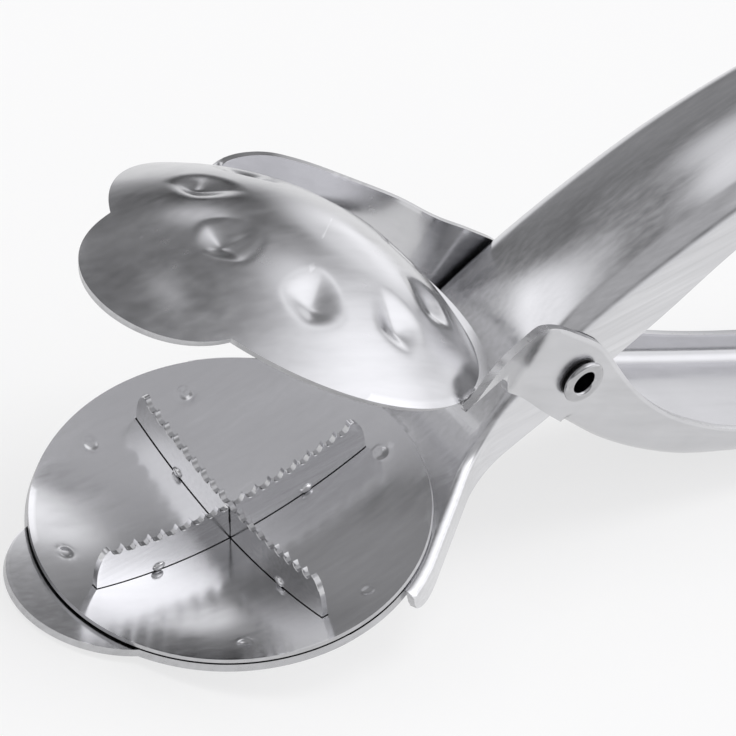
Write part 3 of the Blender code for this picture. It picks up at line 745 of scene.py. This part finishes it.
def buildLowerLever():
    webLine, depthLine, swellLine = lowerLines()
    handleEnd = -stance["pivotBack"] - lower["length"]
    narrowingX = -stance["pivotBack"] - lower["length"] * channels["narrowing"]
    neck = neckPath(lower["neckRadius"], lower["flangeDegrees"], lower["turnDegrees"], lower["halfWidth"])
    handle = handlePath(neck[-1][0].x, handleEnd, narrowingX, lower["halfWidth"], lower["endHalfWidth"])
    endEdge = lower["endHalfWidth"] - lower["handleBend"]
    ribs = []
    crowns = []
    for place in neck + handle:
        point, outward = place
        swell = swellLine(point.x)
        bend = lower["jawBend"] + (lower["handleBend"] - lower["jawBend"]) * swell
        crownAngle = math.atan(2 * lower["crown"] * swell / (lower["halfWidth"] - bend))
        webZ = webLine(point.x - bend * (1 - math.sin(crownAngle)) * outward.x)
        cut = cornerCut(place, neck[0], lower["flangeCorner"], lower["flangeHeight"] - lower["jawBend"])
        ribs.append((point, outward, bend, crownAngle, webZ, webZ - depthLine(point.x) + cut))
        edgeY = ribSpot(ribs[-1], 0.0).y
        crowns.append(lower["crown"] * swell * min(edgeY / endEdge, 1.0) ** 2)

    rear = len(neck) - stepsOver(channels["neckBlend"], fineness["station"])
    edgeLine = frontEdge(lower, lower["rimRadius"], math.radians(lower["flangeDegrees"]))
    edgeLine += [ribSpot(rib, 0.0).xy for rib in ribs[:rear + 1]]
    acrossColumns = stepsOver(edgeLine[-1].y, fineness["column"])
    edgeLine += [Vector((edgeLine[-1].x, edgeLine[-1].y * (1 - share)))
                 for share in evenly(0.0, 1.0, acrossColumns)]
    builder = bmesh.new()
    growFlange(builder, ribs, stepsOver(lower["depth"], fineness["column"]))
    growWeb(builder, ribs[rear:], crowns[rear:], acrossColumns)
    growJaw(builder, edgeLine, dish["radius"], lambda flat: lowerHeight(flat, webLine))
    mirrorAcross(builder)
    tidySheet(builder, faceUp=True)
    cutRivetHole(builder)
    piece = addPiece("cup_arm_and_upper_handle", builder, toolPlace(),
                     steel("lower lever steel", leverLook),
                     "lower_jaw", "lower_jaw_lever")
    giveThickness(piece, sheets["lever"], steel("lower lever edge steel", edgeLook))
    roundEdges(piece, lower["edgeRound"], segments=3)


def upperLines():
    # side lines of the upper lever, as if closed: the low edge of its ears and handle, and the high edge
    earLowZ = stance["pivotUp"] - upper["earBelowPivot"]
    earHighZ = upper["spacing"] + upper["earFrontHeight"]
    earTopZ = stance["pivotUp"] + upper["earAbovePivot"]
    dropZ = stance["pivotUp"] - upper["drop"]
    back = -stance["pivotBack"]
    lowPoints = sideLine(upper["earLine"], 0.0, -back, upper["spacing"], earLowZ - upper["spacing"])
    lowPoints += sideLine(upper["handleWeb"], back, upper["length"], earLowZ, dropZ - earLowZ)
    lowPoints += sideLine(upper["handleLift"], back, upper["length"], dropZ, upper["lift"])
    low = lineThrough(lowPoints)
    depths = sideLine(upper["handleDepth"], back, upper["length"], upper["endDepth"],
                      upper["earBelowPivot"] + upper["earAbovePivot"] - upper["endDepth"])
    highPoints = sideLine(upper["earTopFront"], 0.0, -back, upper["spacing"], upper["earFrontHeight"])
    highPoints += sideLine(upper["earTopRear"], 0.0, -back, earTopZ, earHighZ - earTopZ)
    highPoints += [(x, low(x) + depth) for x, depth in depths]
    return softLine(lowPoints, upper["lineReach"]), softLine(highPoints, upper["lineReach"])


def dimpleDrop(flat):
    # each dimple is a four-sided pit with soft corners that point along and across the dome,
    # steeper on its outer side
    drop = 0.0
    for degrees in upper["dimpleDegrees"]:
        inward = Vector((math.cos(math.radians(degrees)), math.sin(math.radians(degrees))))
        off = flat - upper["dimpleCircle"] * inward
        along, across = off.dot(inward), off.dot(Vector((-inward.y, inward.x)))
        reach = upper["dimpleOutward"] if along > 0 else upper["dimpleInward"]
        away = (abs(along) / reach) ** upper["dimpleSquareness"]
        away += (abs(across) / upper["dimpleHalfWidth"]) ** upper["dimpleSquareness"]
        drop += upper["dimpleDepth"] * ease(1 - away ** (1 / upper["dimpleSquareness"]))
    return drop


def upperHeight(flat):
    # the dome with its dimples, the tongue, which starts at the dome's own slope and eases,
    # and the level rear
    if flat.length <= upper["radius"]:
        share = (flat.length / upper["radius"]) ** 2
        return upper["spacing"] + upper["domeHeight"] * (1 - share) - dimpleDrop(flat)
    if flat.x > 0:
        beyond = flat.length - upper["radius"]
        tongueLength = upper["tongueCentre"] + upper["tongueRadius"] - upper["radius"]
        rimSlope = 2 * upper["domeHeight"] / upper["radius"]
        easing = 2 * (rimSlope - upper["tongueSlope"]) / tongueLength
        return upper["spacing"] - rimSlope * beyond + easing / 2 * beyond ** 2
    return upper["spacing"]


def joinedRib(place, first, highZ):
    # cross-section where the ear is still joined to the dome by its bend
    point, outward = place
    edge = point - upper["earBend"] * outward
    cut = cornerCut(place, first, upper["earFrontCorner"], upper["earFrontHeight"])
    return point, outward, upper["earBend"], 0.0, upperHeight(edge), highZ - cut


def freeRib(place, joinedPoint, webStart, lowZ, highZ):
    # cross-section behind that: the ear turns on edge, and bends again where the handle's web starts
    point, outward = place
    share = (joinedPoint - point).length / upper["twistLength"]
    lowZ = upper["spacing"] + (lowZ - upper["spacing"]) * ease(2 * share)
    turnIn = webStart + upper["handleBend"] * upper["turnIn"]
    if point.x < turnIn:
        turned = math.pi / 2 * max((point.x - webStart) / (turnIn - webStart), 0.0)
        return point, outward, upper["handleBend"], turned, lowZ, highZ
    return point, outward, upper["earBend"], math.pi / 2 * ease(share), lowZ, highZ


def growUpperHalf(builder, earDegrees):
    lowLine, highLine = upperLines()
    webStart = -stance["pivotBack"] - upper["webStart"]
    handleEnd = -stance["pivotBack"] - upper["length"]
    narrowingX = -stance["pivotBack"] - upper["length"] * channels["narrowing"]
    neck = neckPath(upper["neckRadius"], earDegrees, upper["turnDegrees"], upper["halfWidth"])
    neckEnd = neck[-1][0].x
    steps = stepsOver(neckEnd - webStart, fineness["station"])
    toWeb = [(Vector((x, upper["halfWidth"])), Vector((0, 1))) for x in evenly(neckEnd, webStart, steps)]
    handle = handlePath(webStart, handleEnd, narrowingX, upper["halfWidth"], upper["endHalfWidth"])
    ribs = []
    edgeLine = frontEdge(upper, upper["radius"], math.radians(earDegrees))
    joined = math.radians(upper["earJoinedDegrees"])
    joinedPoint = neck[0][0]
    for place in neck + toWeb + handle:
        point = place[0]
        highZ = highLine(point.x)
        if point.x > neckEnd and math.atan2(point.y, point.x) < joined:
            ribs.append(joinedRib(place, neck[0], highZ))
            edgeLine.append(ribSpot(ribs[-1], 0.0).xy)
            joinedPoint = point
        else:
            ribs.append(freeRib(place, joinedPoint, webStart, lowLine(point.x), highZ))
    rearRadius = edgeLine[-1].length
    rearAngle = math.atan2(edgeLine[-1].y, edgeLine[-1].x)
    rearSteps = stepsOver((math.pi - rearAngle) * rearRadius, fineness["column"])
    edgeLine += [rearRadius * Vector((math.cos(angle), math.sin(angle)))
                 for angle in evenly(rearAngle, math.pi, rearSteps)]
    webRibs = ribs[len(neck) + len(toWeb) - 1:]
    earHeight = upper["earBelowPivot"] + upper["earAbovePivot"]
    growFlange(builder, ribs, stepsOver(earHeight, fineness["column"]))
    growWeb(builder, webRibs, [0.0] * len(webRibs), fineness["webColumns"])
    growJaw(builder, edgeLine, upper["radius"], upperHeight)


def buildUpperLever():
    builder = bmesh.new()
    growUpperHalf(builder, upper["farEarDegrees"])
    bmesh.ops.scale(builder, vec=(1, -1, 1), verts=builder.verts)
    growUpperHalf(builder, upper["nearEarDegrees"])
    tidySheet(builder, faceUp=False)
    cutRivetHole(builder)
    piece = addPiece("dome_ears_and_lower_handle", builder, openJawPlace(),
                     steel("upper lever steel", jawLook),
                     "upper_jaw", "upper_jaw_lever")
    giveThickness(piece, sheets["lever"], steel("upper lever edge steel", edgeLook))
    roundEdges(piece, upper["edgeRound"], segments=3)


# Rivet: a tube rolled outwards over both ears
rivet = dict(
    radius=2.3 * mm,
    neck=2.8 * mm,
    bore=1.7 * mm,
    headRadius=3.25 * mm,
    rollFrom=0.6 * mm,     # how far the middle of the rolled rim stands out from the ear
    rollHeight=0.5 * mm,
    rollStartDegrees=-60,
    rollSteps=24,
    steps=72,
    paintedShadeTo=0.8,           # painted shade: the neck is coloured dark up to this much of the roll's height under its middle
    paintedShadeFrom=1.1,         # and out from this many radii of the bore
)


def buildRivet():
    seat = upper["halfWidth"] + sheets["gap"]
    roll = (rivet["headRadius"] - rivet["bore"]) / 2
    middle = seat + rivet["rollFrom"]
    half = [(rivet["radius"], seat), (rivet["neck"], seat), (rivet["neck"], middle - rivet["rollHeight"])]
    start = math.radians(rivet["rollStartDegrees"])
    for angle in [start] + evenly(start, math.pi, rivet["rollSteps"]):
        half.append((rivet["bore"] + roll + roll * math.cos(angle),
                     middle + rivet["rollHeight"] * math.sin(angle)))
    profile = half + [(radius, -along) for radius, along in reversed(half)]
    centre = Vector((-stance["pivotBack"], 0, stance["pivotUp"]))
    builder = bmesh.new()
    corners = [builder.verts.new(centre + Vector((radius, along, 0))) for radius, along in profile]
    edges = [builder.edges.new((corners[index - 1], corners[index])) for index in range(len(corners))]
    bmesh.ops.spin(builder, geom=corners + edges, cent=centre, axis=(0, 1, 0), angle=2 * math.pi,
                   steps=rivet["steps"], use_merge=True)
    bmesh.ops.remove_doubles(builder, verts=builder.verts, dist=sheets["weld"])
    bmesh.ops.recalc_face_normals(builder, faces=builder.faces)
    paintedShadeY = middle - rivet["rollHeight"] * rivet["paintedShadeTo"]
    for face in builder.faces:
        spot = face.calc_center_median() - centre
        out = Vector((spot.x, spot.z)).length
        if abs(spot.y) < paintedShadeY and out > rivet["bore"] * rivet["paintedShadeFrom"]:
            face.material_index = 1        # painted shade: the neck under the rolled rim is coloured dark for its shadow
    piece = addPiece("rolled_rivet", builder, toolPlace(), steel("rivet steel", rivetLook),
                     "lower_jaw", "pivot_rivet")
    # the second slot holds the neck's painted shade
    piece.data.materials.append(steel("rivet neck painted shade", paintedShadeLook))
    piece.data.set_sharp_from_angle(angle=math.radians(fineness["sharpDegrees"]))


# Studio
studio = dict(
    cameraPlace=(0.540342, 0.453695, 0.490295),
    cameraDegrees=(54.37664, -15.56559, 142.85647),
    lens=299.9,
    sensorWidth=36.0,
    viewDistance=20.0,
    floorRadius=6.0,
    floorSides=96,
    floorColour=(0.9, 0.9, 0.9, 1),
    floorRoughness=0.9,
    floorShadow=0.35,      # how much of the lit floor shows under the plain white
)
# the studio's walls are white at the floor and greyer overhead; soft lights fade out round their middles
walls = dict(overhead=0.21, greyFrom=0.0, greyTo=0.32, tint=(1.0, 1.0, 1.02))
softLights = (
    dict(azimuth=158, elevation=38, reach=58, full=6, glow=1.4),       # broad light behind the jaws
    dict(azimuth=-152, elevation=52, reach=12, full=4, glow=0.5),      # two seen in the dish
    dict(azimuth=-121, elevation=31, reach=8, full=3, glow=0.85),
    dict(azimuth=-150, elevation=14, reach=17, full=8, glow=0.75),     # seen in the lower handle
    dict(azimuth=-24, elevation=42, reach=23, full=10, glow=0.95),     # four seen on the upper handle
    dict(azimuth=-36, elevation=27, reach=15, full=6, glow=0.35),
    dict(azimuth=-81, elevation=62, reach=13, full=4, glow=0.75),
    dict(azimuth=-54, elevation=75, reach=13, full=4, glow=0.9),
    dict(azimuth=-92, elevation=32, reach=20, full=8, glow=0.1),       # faint, from the far side
    dict(azimuth=72, elevation=54, reach=44, full=32, glow=0.3),       # broad and faint, from the near side
    dict(azimuth=124, elevation=36, reach=16, full=7, glow=0.7),       # seen in the dish below a blade
    dict(azimuth=-125, elevation=2, reach=22, full=6, glow=-0.45),     # a dark flag, on far outlines
)
topLight = dict(size=1.2, height=1.9, watts=11.0)


def buildFloor():
    builder = bmesh.new()
    bmesh.ops.create_circle(builder, cap_ends=True, segments=studio["floorSides"],
                            radius=studio["floorRadius"])
    mesh = bpy.data.meshes.new("floor")
    builder.to_mesh(mesh)
    builder.free()
    floor = bpy.data.objects.new("floor", mesh)
    bpy.context.scene.collection.objects.link(floor)
    material = bpy.data.materials.new("pale floor")
    material.use_nodes = True
    nodes, links = material.node_tree.nodes, material.node_tree.links
    lit = nodes["Principled BSDF"]
    lit.inputs["Base Color"].default_value = studio["floorColour"]
    lit.inputs["Roughness"].default_value = studio["floorRoughness"]
    lit.inputs["Specular IOR Level"].default_value = 0.0
    plain = addNode(material, "ShaderNodeEmission")
    plain.inputs["Strength"].default_value = 1.0
    rays = addNode(material, "ShaderNodeLightPath")
    seen = rays.outputs["Is Camera Ray"]
    seen = combineValues(material, "MAXIMUM", seen, rays.outputs["Is Glossy Ray"])
    seen = combineValues(material, "MAXIMUM", seen, rays.outputs["Is Transmission Ray"])
    share = combineValues(material, "MULTIPLY", seen, 1 - studio["floorShadow"])
    mix = addNode(material, "ShaderNodeMixShader")
    links.new(share, mix.inputs["Fac"])
    links.new(lit.outputs["BSDF"], mix.inputs[1])
    links.new(plain.outputs["Emission"], mix.inputs[2])
    links.new(mix.outputs["Shader"], nodes["Material Output"].inputs["Surface"])
    mesh.materials.append(material)


def buildWorld():
    world = bpy.data.worlds.new("studio")
    bpy.context.scene.world = world
    world.use_nodes = True
    links = world.node_tree.links
    direction = addNode(world, "ShaderNodeTexCoord").outputs["Generated"]
    split = addNode(world, "ShaderNodeSeparateXYZ")
    links.new(direction, split.inputs["Vector"])
    level = mapTo(world, split.outputs["Z"], walls["greyFrom"], walls["greyTo"], 1.0, walls["overhead"],
                  soft=True)
    for light in softLights:
        level = combineValues(world, "ADD", level, softLight(world, direction, light))
    level = combineValues(world, "MAXIMUM", level, 0.0)
    colour = addNode(world, "ShaderNodeVectorMath", operation="SCALE")
    colour.inputs["Vector"].default_value = walls["tint"]
    links.new(level, colour.inputs["Scale"])
    links.new(colour.outputs["Vector"], world.node_tree.nodes["Background"].inputs["Color"])


def softLight(world, direction, light):
    # brightness of one light: full within a few degrees of its middle, and gone at its reach
    azimuth, elevation = math.radians(light["azimuth"]), math.radians(light["elevation"])
    across = addNode(world, "ShaderNodeVectorMath", operation="DOT_PRODUCT")
    world.node_tree.links.new(direction, across.inputs[0])
    across.inputs[1].default_value = (math.cos(elevation) * math.cos(azimuth),
                                      math.cos(elevation) * math.sin(azimuth), math.sin(elevation))
    angle = combineValues(world, "ARCCOSINE", across.outputs["Value"], 0.0)
    return mapTo(world, angle, math.radians(light["full"]), math.radians(light["reach"]),
                 light["glow"], 0.0, soft=True)


def buildLamps():
    # lifts the floor to a plain level and gives the tool its soft shadow; it isn't mirrored in the steel
    light = bpy.data.lights.new("top softbox", "AREA")
    light.size = topLight["size"]
    light.energy = topLight["watts"]
    item = bpy.data.objects.new("top softbox", light)
    item.location = (0, 0, topLight["height"])
    item.visible_glossy = False
    bpy.context.scene.collection.objects.link(item)


def buildCamera():
    data = bpy.data.cameras.new("camera")
    data.lens = studio["lens"]
    data.sensor_width = studio["sensorWidth"]
    data.clip_end = studio["viewDistance"]
    camera = bpy.data.objects.new("camera", data)
    camera.location = studio["cameraPlace"]
    camera.rotation_euler = [math.radians(angle) for angle in studio["cameraDegrees"]]
    bpy.context.scene.collection.objects.link(camera)
    bpy.context.scene.camera = camera


print("pressing the levers")
buildLowerLever()
buildUpperLever()
print("dish, blades and rivet")
buildDish()
buildBlade("long_saw_blade", "long_blade", 0.0, 1, slotFromAbove=True)
buildBlade("cross_saw_blade", "cross_blade", math.pi / 2, -1, slotFromAbove=False)
buildRivet()
print("studio")
buildFloor()
buildWorld()
buildLamps()
buildCamera()
bpy.context.scene.view_settings.view_transform = "Standard"
